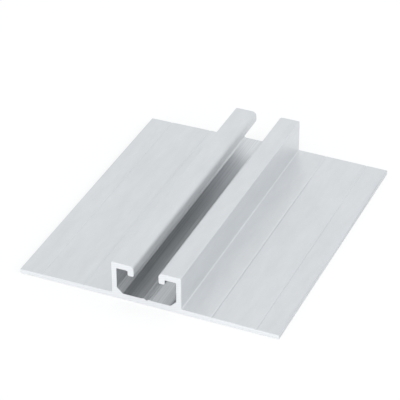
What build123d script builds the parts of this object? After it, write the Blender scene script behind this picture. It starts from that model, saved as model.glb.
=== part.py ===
from build123d import *
import os

# Mini rail that carries solar panels on a sheet roof: one extruded aluminium length, sawn square at both ends.
# X runs across the rail, Y along it and Z up. The origin is the middle of the underside.

# Overall size
base_width = 100.0
rail_length = 114.0
rail_height = 15.3

# Flanges, which thin a little from the channel out to the rim
flange_rim = 1.8
flange_root = 2.2
rim_radius = 0.2
foot_fillet = 0.4

# V lines along each flange that centre a drill or a self-drilling screw: the inner pair by its gauge across the
# rail, the outer pair by its distance in from the rim
drill_line_gauge = 49.4
drill_line_rim_margin = 8.6
drill_line_width = 1.0
drill_line_depth = 0.2
drill_line_root = 0.1

# Channel that a hammer-head bolt slides along
channel_width = 26.8
wall = 2.0
floor = 2.5
inner_corner = 0.25
inner_chamfer = 2.2
outer_corner = 0.3

# Arms turned in over the channel, with their lips turned down beside the slot
arm = 2.5
slot_width = 9.5
lip = 2.4
lip_drop = 4.5
lip_shoulder = 1.7
lip_tip = 0.6
lip_root = 0.4

# V line along the middle of the channel floor, cut between two low beads and measured from their tops
floor_line_width = 1.6
floor_line_depth = 0.57
floor_line_root = 0.15
bead_width = 0.8
bead_height = 0.15
bead_flank = 0.2
bead_edge = 0.2


def flange_top(x):
    """Height of the flange's top face at a distance x from the middle plane."""
    share = (x - channel_width / 2) / (base_width / 2 - channel_width / 2)
    return flange_root + (flange_rim - flange_root) * share


def drill_line(x):
    """The three corners of one V line at a distance x from the middle plane, from its outer side inwards."""
    outer = x + drill_line_width / 2
    inner = x - drill_line_width / 2
    return [
        (outer, flange_top(outer), 0),
        (x, flange_top(x) - drill_line_depth, drill_line_root),
        (inner, flange_top(inner), 0),
    ]


def half_section():
    """Corners of the right half as (across, up, corner radius), from the rim up and in to the floor line."""
    half_base = base_width / 2
    half_channel = channel_width / 2
    half_slot = slot_width / 2
    inner_wall = half_channel - wall
    lip_back = half_slot + lip
    under_arm = rail_height - arm
    lip_end = rail_height - lip_drop
    bead_inner = floor_line_width / 2
    bead_outer = bead_inner + bead_width
    bead_top = floor + bead_height
    flange = [
        (half_base, 0, rim_radius),
        (half_base, flange_rim, rim_radius),
        *drill_line(half_base - drill_line_rim_margin),
        *drill_line(drill_line_gauge / 2),
        (half_channel, flange_root, foot_fillet),
    ]
    arm_and_lip = [
        (half_channel, rail_height, outer_corner),
        (half_slot, rail_height, lip_shoulder),
        (half_slot, lip_end, lip_tip),
        (lip_back, lip_end, lip_tip),
        (lip_back, under_arm, lip_root),
        (inner_wall, under_arm, inner_corner),
    ]
    inside = [
        (inner_wall, floor + inner_chamfer, 0),
        (inner_wall - inner_chamfer, floor, 0),
        (bead_outer + bead_flank, floor, bead_edge),
        (bead_outer, bead_top, bead_edge),
        (bead_inner, bead_top, bead_edge),
    ]
    return flange + arm_and_lip + inside


def section():
    """The whole closed section: the right half, the root of the floor line, and the right half mirrored."""
    right = half_section()
    root = [(0, floor + bead_height - floor_line_depth, floor_line_root)]
    left = [(-x, z, radius) for x, z, radius in reversed(right)]
    corners = right + root + left
    with BuildSketch(Plane.XZ) as sketch:
        with BuildLine():
            FilletPolyline([(x, z) for x, z, _ in corners], radius=[radius for _, _, radius in corners], close=True)
        make_face()
    return sketch.sketch


def mounting_rail():
    """The section drawn out to the sawn length, half of it each way from the origin."""
    return extrude(section(), amount=rail_length / 2, both=True)


os.makedirs("parts", exist_ok=True)
export_step(mounting_rail(), "parts/mounting_rail.step")
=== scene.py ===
import math

import bpy
import numpy as np
from mathutils import Matrix, Vector


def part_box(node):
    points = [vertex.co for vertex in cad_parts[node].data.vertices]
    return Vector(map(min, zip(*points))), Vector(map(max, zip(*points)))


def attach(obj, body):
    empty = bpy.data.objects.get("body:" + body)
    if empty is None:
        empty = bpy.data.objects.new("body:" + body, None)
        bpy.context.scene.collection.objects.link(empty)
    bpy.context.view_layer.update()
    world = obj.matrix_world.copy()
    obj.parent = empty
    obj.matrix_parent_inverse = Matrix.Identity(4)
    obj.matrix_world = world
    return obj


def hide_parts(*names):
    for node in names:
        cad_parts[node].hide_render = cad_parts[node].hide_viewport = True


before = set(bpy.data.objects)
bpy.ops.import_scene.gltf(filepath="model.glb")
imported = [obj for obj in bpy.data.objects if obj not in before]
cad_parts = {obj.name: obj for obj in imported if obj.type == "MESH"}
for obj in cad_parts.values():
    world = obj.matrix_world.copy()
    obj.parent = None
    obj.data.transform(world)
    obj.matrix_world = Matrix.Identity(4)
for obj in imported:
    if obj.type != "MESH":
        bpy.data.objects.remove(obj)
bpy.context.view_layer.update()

# Rail
# One extruded length of aluminium: a flat base, two walls, and arms that turn in and down over an
# open channel. The die leaves fine lines along it. Its drawn skin is satin, with painted shade
# darkening it inside the channel and on the rims, and both ends are sawn square and lightly
# deburred.

MM = 0.001
half_base, half_length, rail_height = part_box("mounting_rail")[1]

flange_rim = 1.8 * MM
flange_root = 2.2 * MM
rim_radius = 0.2 * MM
foot_fillet = 0.4 * MM
drill_line_gauge = 49.4 * MM
drill_line_rim_margin = 8.6 * MM
drill_line_width = 1.0 * MM
drill_line_depth = 0.2 * MM
drill_line_root = 0.1 * MM
channel_width = 26.8 * MM
wall = 2.0 * MM
floor = 2.5 * MM
inner_corner = 0.25 * MM
inner_chamfer = 2.2 * MM
outer_corner = 0.3 * MM
arm = 2.5 * MM
slot_width = 9.5 * MM
lip = 2.4 * MM
lip_drop = 4.5 * MM
lip_shoulder = 1.7 * MM
lip_tip = 0.6 * MM
lip_root = 0.4 * MM
floor_line_width = 1.6 * MM
floor_line_depth = 0.57 * MM
floor_line_root = 0.15 * MM
bead_width = 0.8 * MM
bead_height = 0.15 * MM
bead_flank = 0.2 * MM
bead_edge = 0.2 * MM

arc_steps = 8
same_point = 0.0001 * MM
section_step = 0.25 * MM
rows_along = 45
deburr = 0.08 * MM
sharp_turn = math.radians(28)
scuff_falloff = 0.8

# Unevenness left by the die: pairs give the least and the most that is drawn, with widths in mm
die_seed = 7
die_strength = (0.3, 1.0)
die_waves = 24
die_wave_depth = 0.012 * MM
die_wave_cycles = (20, 90)
die_wave_drift = (-0.6, 0.6)
die_lines = 140
die_line_depth = 0.010 * MM
die_line_width = (0.12, 0.4)
die_line_phase = (0, 6)
die_line_drift = (0.5, 3)
die_line_middle = 0.6
die_line_swing = 0.4


def flange_top(x):
    """Height of a flange's top face: a straight line from the root at the channel to the rim."""
    share = (x - channel_width / 2) / (half_base - channel_width / 2)
    return flange_root + (flange_rim - flange_root) * share


def drill_line(x):
    """The three corners of a V line at x, from its outer side inwards, as (across, up, radius)."""
    outer, inner = x + drill_line_width / 2, x - drill_line_width / 2
    return [
        (outer, flange_top(outer), 0),
        (x, flange_top(x) - drill_line_depth, drill_line_root),
        (inner, flange_top(inner), 0),
    ]


def section_corners():
    """Corners of the section as (across, up, radius): right half, floor line's root, left half."""
    half_channel = channel_width / 2
    half_slot = slot_width / 2
    inner_wall = half_channel - wall
    lip_back = half_slot + lip
    under_arm = rail_height - arm
    lip_end = rail_height - lip_drop
    bead_inner = floor_line_width / 2
    bead_outer = bead_inner + bead_width
    bead_top = floor + bead_height
    right = [
        (half_base, 0, rim_radius),
        (half_base, flange_rim, rim_radius),
        *drill_line(half_base - drill_line_rim_margin),
        *drill_line(drill_line_gauge / 2),
        (half_channel, flange_root, foot_fillet),
        (half_channel, rail_height, outer_corner),
        (half_slot, rail_height, lip_shoulder),
        (half_slot, lip_end, lip_tip),
        (lip_back, lip_end, lip_tip),
        (lip_back, under_arm, lip_root),
        (inner_wall, under_arm, inner_corner),
        (inner_wall, floor + inner_chamfer, 0),
        (inner_wall - inner_chamfer, floor, 0),
        (bead_outer + bead_flank, floor, bead_edge),
        (bead_outer, bead_top, bead_edge),
        (bead_inner, bead_top, bead_edge),
    ]
    root = [(0, bead_top - floor_line_depth, floor_line_root)]
    left = [(-x, z, radius) for x, z, radius in reversed(right)]
    return np.array(right + root + left)


def rounded(corners, steps):
    """Closed outline with each corner made an arc.

    An arc's points are start + radius * (sin t * way in + (1 - cos t) * inward normal), where t
    runs from 0 to the turn, and its start lies radius * tan(turn / 2) before the corner.
    """
    points, radius = corners[:, :2], corners[:, 2]
    way_in = points - np.roll(points, 1, axis=0)
    way_in /= np.linalg.norm(way_in, axis=1)[:, None]
    way_out = np.roll(way_in, -1, axis=0)
    to_the_side = way_in[:, 0] * way_out[:, 1] - way_in[:, 1] * way_out[:, 0]
    turn = np.arctan2(to_the_side, (way_in * way_out).sum(1))
    inward = np.sign(turn)[:, None] * np.stack([-way_in[:, 1], way_in[:, 0]], 1)
    start = points - way_in * (radius * np.tan(abs(turn) / 2))[:, None]
    angle = abs(turn)[:, None, None] * np.linspace(0, 1, steps)[None, :, None]
    arcs = start[:, None] + radius[:, None, None] * (
        np.sin(angle) * way_in[:, None] + (1 - np.cos(angle)) * inward[:, None]
    )
    outline = arcs.reshape(-1, 2)
    apart = np.linalg.norm(outline - np.roll(outline, 1, axis=0), axis=1) > same_point
    return outline[apart]


def subdivided(outline, step):
    """Closed outline with every run cut into equal pieces no longer than the step."""
    ahead = np.roll(outline, -1, axis=0)
    length = np.linalg.norm(ahead - outline, axis=1)
    pieces = np.maximum(1, np.ceil(length / step).astype(int))
    run = np.repeat(np.arange(len(outline)), pieces)
    place = np.arange(len(run)) - np.repeat(np.cumsum(pieces) - pieces, pieces)
    share = (place / pieces[run])[:, None]
    return outline[run] * (1 - share) + ahead[run] * share


def outward_normals(outline):
    """Unit normals of an anticlockwise outline: the mean way of the two runs at each point,
    turned a quarter outwards."""
    run = np.roll(outline, -1, axis=0) - outline
    run /= np.linalg.norm(run, axis=1)[:, None]
    mean = run + np.roll(run, 1, axis=0)
    mean /= np.linalg.norm(mean, axis=1)[:, None]
    return np.stack([mean[:, 1], -mean[:, 0]], 1)


def die_relief(girth, along, seed):
    """Depth below the true face over (girth, along).

    It sums sine waves round the section, shifted a little along the rail, and narrow lines, each
    exp(-(distance / width) squared) deep, whose strength swings slowly along the rail.
    """
    draw = np.random.default_rng(seed)
    total = girth[-1]
    depth = np.zeros((len(along), len(girth)))
    for _ in range(die_waves):
        cycles = draw.integers(*die_wave_cycles)
        phase = draw.uniform(0, 2 * np.pi)
        drift = draw.uniform(*die_wave_drift)
        strength = draw.uniform(*die_strength)
        shift = phase + drift * along[:, None] / half_length
        swing = np.sin(2 * np.pi * cycles * girth / total + shift)
        depth += die_wave_depth * strength / (die_waves / 2) * (swing + 1)
    for _ in range(die_lines):
        place = draw.uniform(0, total)
        width = draw.uniform(*die_line_width) * MM
        phase = draw.uniform(*die_line_phase)
        drift = draw.uniform(*die_line_drift)
        strength = draw.uniform(*die_strength)
        swing = np.sin(phase + along[:, None] / half_length * drift)
        fade = die_line_middle + die_line_swing * swing
        depth += die_line_depth * strength * np.exp(-((girth - place) / width) ** 2) * fade
    return depth


def swept_rail(outline, normals):
    """Points (row, place, xyz): outline - normal * relief in each row, with rows along the rail
    from end to end, the first and last drawn in by the deburring."""
    run = np.linalg.norm(np.roll(outline, -1, axis=0) - outline, axis=1)
    girth = np.cumsum(run)
    inner_rows = np.linspace(-half_length + deburr, half_length - deburr, rows_along)
    along = np.concatenate([[-half_length], inner_rows, [half_length]])
    draw_in = np.zeros(len(along))
    draw_in[[0, -1]] = deburr
    depth = die_relief(girth, along, die_seed) + draw_in[:, None]
    flat = outline[None] - normals[None] * depth[:, :, None]
    across = np.clip(flat[:, :, 0], -half_base, half_base)
    up = np.clip(flat[:, :, 1], 0, rail_height)
    return np.stack([across, np.broadcast_to(along[:, None], across.shape), up], 2)


def scuffed(outline):
    """Share of scuffing at each place: 1 on the lips' slot faces, and up each shoulder it falls
    to 0 as (depth below the arm's top / shoulder) to the power of the falloff."""
    across, up = abs(outline[:, 0]), outline[:, 1]
    on_slot_side = across < (slot_width + lip) / 2
    above_tip = up > rail_height - lip_drop - lip_tip / 2
    fade = np.clip((rail_height - up) / lip_shoulder, 0, 1)
    return on_slot_side * above_tip * fade ** scuff_falloff


def painted_shade_share(outline):
    """Share of painted shade at each place, which darkens the colour where shade falls: 1 inside
    the channel, behind the lips and on the rims, and 0 elsewhere."""
    across, up = abs(outline[:, 0]), outline[:, 1]
    between_walls = across < channel_width / 2 - wall / 2
    under_arms = (up > floor - floor_line_depth) * (up < rail_height - arm / 2)
    on_rims = across > half_base - rim_radius
    return np.maximum(between_walls * under_arms * (scuffed(outline) == 0), on_rims)


def rail_mesh(points, marks):
    """Quads between neighbouring rows, wound outwards, one flat face across each sawn end, and
    the named marks, each the same in every row."""
    rows, places = points.shape[:2]
    index = np.arange(rows * places).reshape(rows, places)
    ahead = np.roll(index, -1, axis=1)
    skin = np.stack([index[:-1], ahead[:-1], ahead[1:], index[1:]], 2).reshape(-1, 4)
    faces = skin.tolist() + [index[0][::-1].tolist(), index[-1].tolist()]
    mesh = bpy.data.meshes.new("rail")
    mesh.from_pydata(points.reshape(-1, 3).tolist(), [], faces)
    sawn = np.arange(len(faces)) >= len(skin)
    mesh.polygons.foreach_set("use_smooth", ~sawn)
    mesh.polygons.foreach_set("material_index", sawn.astype(np.int32))
    for name, share in marks.items():
        mark = mesh.attributes.new(name, "FLOAT", "POINT")
        mark.data.foreach_set("value", np.tile(share, rows).astype(np.float32))
    mesh.update()
    return mesh


def lay_map(mesh, points):
    """UV map in metres: U is the way round the section and V the way along the rail, and the
    sawn ends keep X and Z."""
    skin_shape = (len(points) - 1, points.shape[1], 4)
    run = np.linalg.norm(np.roll(points[0], -1, axis=0) - points[0], axis=1)
    far = np.cumsum(run)
    near = far - run
    along = points[:, 0, 1]
    row_ends = np.stack([along[:-1], along[:-1], along[1:], along[1:]], 1)
    around = np.broadcast_to(np.stack([near, far, far, near], 1), skin_shape)
    onward = np.broadcast_to(row_ends[:, None], skin_shape)
    skin = np.stack([around, onward], 3).reshape(-1, 2)
    ends = np.concatenate([points[0][::-1][:, [0, 2]], points[-1][:, [0, 2]]])
    layer = mesh.uv_layers.new(name="round_and_along")
    layer.data.foreach_set("uv", np.concatenate([skin, ends]).astype(np.float32).ravel())


outline = subdivided(rounded(section_corners(), arc_steps), section_step)
# The second mark is painted shade: it darkens the colour inside the channel and on the rims
marks = {"scuff": scuffed(outline), "painted_shade": painted_shade_share(outline)}
points = swept_rail(outline, outward_normals(outline))
rail = bpy.data.objects.new("rail", rail_mesh(points, marks))
lay_map(rail.data, points)
bpy.context.scene.collection.objects.link(rail)
rail.data.set_sharp_from_angle(angle=sharp_turn)
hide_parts("mounting_rail")
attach(rail, "root")

# Grain: its scale across the rail, and its stretch, which is the share of that scale along it
line_scale = 1500.0
line_stretch = 0.012
band_scale = 235.0
band_stretch = 0.25
grain_detail = 4
grain_roughness = 0.6

# Drawn skin: darker and lighter tones of the broad bands outside, and of the fine lines where
# shade is painted darker inside the channel and on the rims, the part of the lines' mask that
# these painted-shade tones span, and the gloss
skin_dark = (0.708, 0.720, 0.732, 1)
skin_light = (0.823, 0.837, 0.850, 1)
lines_and_shade_dark = (0.640, 0.651, 0.662, 1)
lines_and_shade_light = (0.800, 0.814, 0.827, 1)
lines_and_shade_span = (0.35, 0.65)
skin_roughness = (0.31, 0.42)
scuff_roughness = 0.22
skin_anisotropy = 0.75
skin_press = 0.12
skin_press_depth = 0.02 * MM

# Sawn ends: tones and gloss of the fresh metal, and the arcs round the centre of the blade
sawn_dark = (0.90, 0.905, 0.92, 1)
sawn_light = (0.95, 0.96, 0.975, 1)
sawn_roughness = 0.45
blade_centre = Vector((0.04, 0, -0.13))
blade_arc_scale = 420
blade_arc_distortion = 1.5
blade_arc_detail = 2
sawn_press = 0.15
sawn_press_depth = 0.03 * MM


def grain_group():
    """Two masks, fine streaks and broad bands: noise on Object coordinates, drawn out along Y."""
    group = bpy.data.node_groups.new("extruded_grain", "ShaderNodeTree")
    face = group.interface
    for name, scale in (("Fine Scale", line_scale), ("Broad Scale", band_scale)):
        socket = face.new_socket(name, in_out="INPUT", socket_type="NodeSocketFloat")
        socket.default_value = scale
    for name in ("Streaks", "Bands"):
        face.new_socket(name, in_out="OUTPUT", socket_type="NodeSocketFloat")
    nodes, links = group.nodes, group.links
    given, made = nodes.new("NodeGroupInput"), nodes.new("NodeGroupOutput")
    place = nodes.new("ShaderNodeTexCoord")
    grains = (("Fine Scale", line_stretch, "Streaks"), ("Broad Scale", band_stretch, "Bands"))
    for scale_name, stretch, mask_name in grains:
        lengthen = nodes.new("ShaderNodeMapping")
        lengthen.inputs["Scale"].default_value = (1, stretch, 1)
        noise = nodes.new("ShaderNodeTexNoise")
        noise.inputs["Detail"].default_value = grain_detail
        noise.inputs["Roughness"].default_value = grain_roughness
        links.new(place.outputs["Object"], lengthen.inputs["Vector"])
        links.new(lengthen.outputs["Vector"], noise.inputs["Vector"])
        links.new(given.outputs[scale_name], noise.inputs["Scale"])
        links.new(noise.outputs["Fac"], made.inputs[mask_name])
    return group


def bare_metal(name):
    """A plain metallic material, with its nodes, its links and its shader."""
    material = bpy.data.materials.new(name)
    material.use_nodes = True
    nodes, links = material.node_tree.nodes, material.node_tree.links
    shader = nodes["Principled BSDF"]
    shader.inputs["Metallic"].default_value = 1.0
    return material, nodes, links, shader


def two_tones(nodes, links, mask, dark, light):
    """Colour that goes from the dark tone to the light one as the mask goes from 0 to 1."""
    tone = nodes.new("ShaderNodeMix")
    tone.data_type = "RGBA"
    tone.inputs["A"].default_value = dark
    tone.inputs["B"].default_value = light
    links.new(mask, tone.inputs["Factor"])
    return tone.outputs["Result"]


def press_in(nodes, links, shader, height, strength, depth):
    """Bump on the shader's normal: the mask times the depth high, and blended by the strength."""
    press = nodes.new("ShaderNodeBump")
    press.inputs["Strength"].default_value = strength
    press.inputs["Distance"].default_value = depth
    links.new(height, press.inputs["Height"])
    links.new(press.outputs["Normal"], shader.inputs["Normal"])


def skin_material(grain):
    """Satin drawn aluminium: the die's fine lines spread its gloss round the section more than
    along the rail, and show in its colour where shade is painted darker, inside the channel and
    on the rims."""
    material, nodes, links, shader = bare_metal("drawn_aluminium")
    shader.inputs["Anisotropic"].default_value = skin_anisotropy
    round_section = nodes.new("ShaderNodeTangent")
    round_section.direction_type = "UV_MAP"
    round_section.uv_map = "round_and_along"
    links.new(round_section.outputs["Tangent"], shader.inputs["Tangent"])
    grained = nodes.new("ShaderNodeGroup")
    grained.node_tree = grain
    streaks, bands = grained.outputs["Streaks"], grained.outputs["Bands"]

    sharper = nodes.new("ShaderNodeMapRange")
    sharper.inputs["From Min"].default_value = lines_and_shade_span[0]
    sharper.inputs["From Max"].default_value = lines_and_shade_span[1]
    links.new(streaks, sharper.inputs["Value"])
    # Painted shade: a darker, lined colour inside the channel and on the rims, where shade falls
    painted_shade = nodes.new("ShaderNodeAttribute")
    painted_shade.attribute_name = "painted_shade"
    with_painted_shade = nodes.new("ShaderNodeMix")
    with_painted_shade.data_type = "RGBA"
    links.new(painted_shade.outputs["Fac"], with_painted_shade.inputs["Factor"])
    banded = two_tones(nodes, links, bands, skin_dark, skin_light)
    lined_and_shaded = two_tones(nodes, links, sharper.outputs["Result"], lines_and_shade_dark, lines_and_shade_light)
    links.new(banded, with_painted_shade.inputs["A"])
    links.new(lined_and_shaded, with_painted_shade.inputs["B"])
    links.new(with_painted_shade.outputs["Result"], shader.inputs["Base Color"])

    gloss = nodes.new("ShaderNodeMapRange")
    gloss.inputs["To Min"].default_value = skin_roughness[0]
    gloss.inputs["To Max"].default_value = skin_roughness[1]
    links.new(streaks, gloss.inputs["Value"])
    scuff = nodes.new("ShaderNodeAttribute")
    scuff.attribute_name = "scuff"
    roughened = nodes.new("ShaderNodeMath")
    roughened.operation = "MULTIPLY_ADD"
    roughened.inputs[1].default_value = scuff_roughness
    links.new(scuff.outputs["Fac"], roughened.inputs[0])
    links.new(gloss.outputs["Result"], roughened.inputs[2])
    links.new(roughened.outputs["Value"], shader.inputs["Roughness"])

    press_in(nodes, links, shader, streaks, skin_press, skin_press_depth)
    return material


def sawn_material():
    """Sawn aluminium: paler fresh metal with the shallow arcs that a circular blade leaves."""
    material, nodes, links, shader = bare_metal("sawn_aluminium")
    shader.inputs["Roughness"].default_value = sawn_roughness
    place = nodes.new("ShaderNodeTexCoord")
    from_centre = nodes.new("ShaderNodeMapping")
    from_centre.inputs["Location"].default_value = -blade_centre
    arcs = nodes.new("ShaderNodeTexWave")
    arcs.wave_type = "RINGS"
    arcs.rings_direction = "Y"
    arcs.inputs["Scale"].default_value = blade_arc_scale
    arcs.inputs["Distortion"].default_value = blade_arc_distortion
    arcs.inputs["Detail"].default_value = blade_arc_detail
    links.new(place.outputs["Object"], from_centre.inputs["Vector"])
    links.new(from_centre.outputs["Vector"], arcs.inputs["Vector"])
    colour = two_tones(nodes, links, arcs.outputs["Fac"], sawn_dark, sawn_light)
    links.new(colour, shader.inputs["Base Color"])
    press_in(nodes, links, shader, arcs.outputs["Fac"], sawn_press, sawn_press_depth)
    return material


rail.data.materials.append(skin_material(grain_group()))
rail.data.materials.append(sawn_material())

# Floor and backdrop
# A plain white sheet for the rail to lie on. The camera and the metal see it white, and it keeps
# the rail's soft shadow.

sheet_side = 3.0
sheet_drop = 0.02 * MM

# Brightness of the matt sheet and of the glow that is added to it: first for every ray, then for
# each kind of ray that sees it otherwise
plain_sheet = (0.8, 0)
sheet_seen_by = (
    ("Is Glossy Ray", (0.82, 0.1)),
    ("Is Transmission Ray", (0.82, 0.1)),
    ("Is Camera Ray", (0.35, 0.66)),
)


def floor_mesh(side, height):
    """A flat square: corners at plus and minus half the side."""
    mesh = bpy.data.meshes.new("floor_sheet")
    signs = np.array([(-1, -1, 0), (1, -1, 0), (1, 1, 0), (-1, 1, 0)])
    corners = signs * side / 2 + (0, 0, height)
    mesh.from_pydata(corners.tolist(), [], [(0, 1, 2, 3)])
    return mesh


def floor_material():
    """Matt white, lit by the lamps, with a glow that only camera, mirror and clear rays see."""
    material = bpy.data.materials.new("white_sheet")
    material.use_nodes = True
    nodes, links = material.node_tree.nodes, material.node_tree.links
    nodes.clear()
    path = nodes.new("ShaderNodeLightPath")

    def sheet(brightness, glow):
        """The sheet as one kind of ray sees it: a matt grey plus a white glow."""
        matt = nodes.new("ShaderNodeBsdfDiffuse")
        matt.inputs["Color"].default_value = (brightness, brightness, brightness, 1)
        light = nodes.new("ShaderNodeEmission")
        light.inputs["Strength"].default_value = glow
        both = nodes.new("ShaderNodeAddShader")
        links.new(matt.outputs["BSDF"], both.inputs[0])
        links.new(light.outputs["Emission"], both.inputs[1])
        return both

    so_far = sheet(*plain_sheet)
    for ray, look in sheet_seen_by:
        seen = nodes.new("ShaderNodeMixShader")
        links.new(path.outputs[ray], seen.inputs["Fac"])
        links.new(so_far.outputs["Shader"], seen.inputs[1])
        links.new(sheet(*look).outputs["Shader"], seen.inputs[2])
        so_far = seen
    out = nodes.new("ShaderNodeOutputMaterial")
    links.new(so_far.outputs["Shader"], out.inputs["Surface"])
    return material


floor_sheet = bpy.data.objects.new("floor_sheet", floor_mesh(sheet_side, -sheet_drop))
floor_sheet.data.materials.append(floor_material())
bpy.context.scene.collection.objects.link(floor_sheet)

# Light
# An even, faintly cool studio surround, with two long soft panels: one on the right that lifts
# the wall on that side, and a lower one in front for the sawn end.

surround_colour = (0.963, 0.985, 1, 1)
surround_strength = 0.925
panel_distance = 1.2
panel_width = 1.6
panel_height = 0.36

world = bpy.data.worlds.new("studio")
world.use_nodes = True
bpy.context.scene.world = world
surround = world.node_tree.nodes["Background"]
surround.inputs["Color"].default_value = surround_colour
surround.inputs["Strength"].default_value = surround_strength


def soft_panel(name, azimuth, elevation, power):
    """Area lamp at the panel distance, facing the rail, with its power in watts: azimuth in
    degrees from +X towards +Y, elevation in degrees from level."""
    turn, lift = math.radians(azimuth), math.radians(elevation)
    away = Vector((
        math.cos(turn) * math.cos(lift),
        math.sin(turn) * math.cos(lift),
        math.sin(lift),
    ))
    facing = away.to_track_quat("Z", "Y").to_matrix().to_4x4()
    lamp = bpy.data.objects.new(name, bpy.data.lights.new(name, "AREA"))
    lamp.data.shape = "RECTANGLE"
    lamp.data.size, lamp.data.size_y = panel_width, panel_height
    lamp.data.energy = power
    lamp.matrix_world = Matrix.Translation(away * panel_distance) @ facing
    lamp.visible_camera = False
    bpy.context.scene.collection.objects.link(lamp)


soft_panel("right_panel", azimuth=0, elevation=22, power=4)
soft_panel("front_panel", azimuth=270, elevation=12, power=3)

# Camera
# The photograph's own angle, worked out from the rail's edges in it: a long lens, from the front
# and to the right.

camera_azimuth = math.radians(23.587)
camera_elevation = math.radians(33.452)
camera_roll = math.radians(-0.253)
camera_distance = 0.72606
camera_aim = Vector((-0.00407, -0.00039, 0.00893))
lens = 175.86
sensor_width = 36

back = Vector((
    math.sin(camera_azimuth) * math.cos(camera_elevation),
    -math.cos(camera_azimuth) * math.cos(camera_elevation),
    math.sin(camera_elevation),
))
camera = bpy.data.objects.new("camera", bpy.data.cameras.new("camera"))
bpy.context.scene.collection.objects.link(camera)
camera.data.lens = lens
camera.data.sensor_width = sensor_width
place = Matrix.Translation(camera_aim + back * camera_distance)
facing = back.to_track_quat("Z", "Y").to_matrix().to_4x4()
camera.matrix_world = place @ facing @ Matrix.Rotation(camera_roll, 4, "Z")
bpy.context.scene.camera = camera
bpy.context.scene.view_settings.view_transform = "Standard"
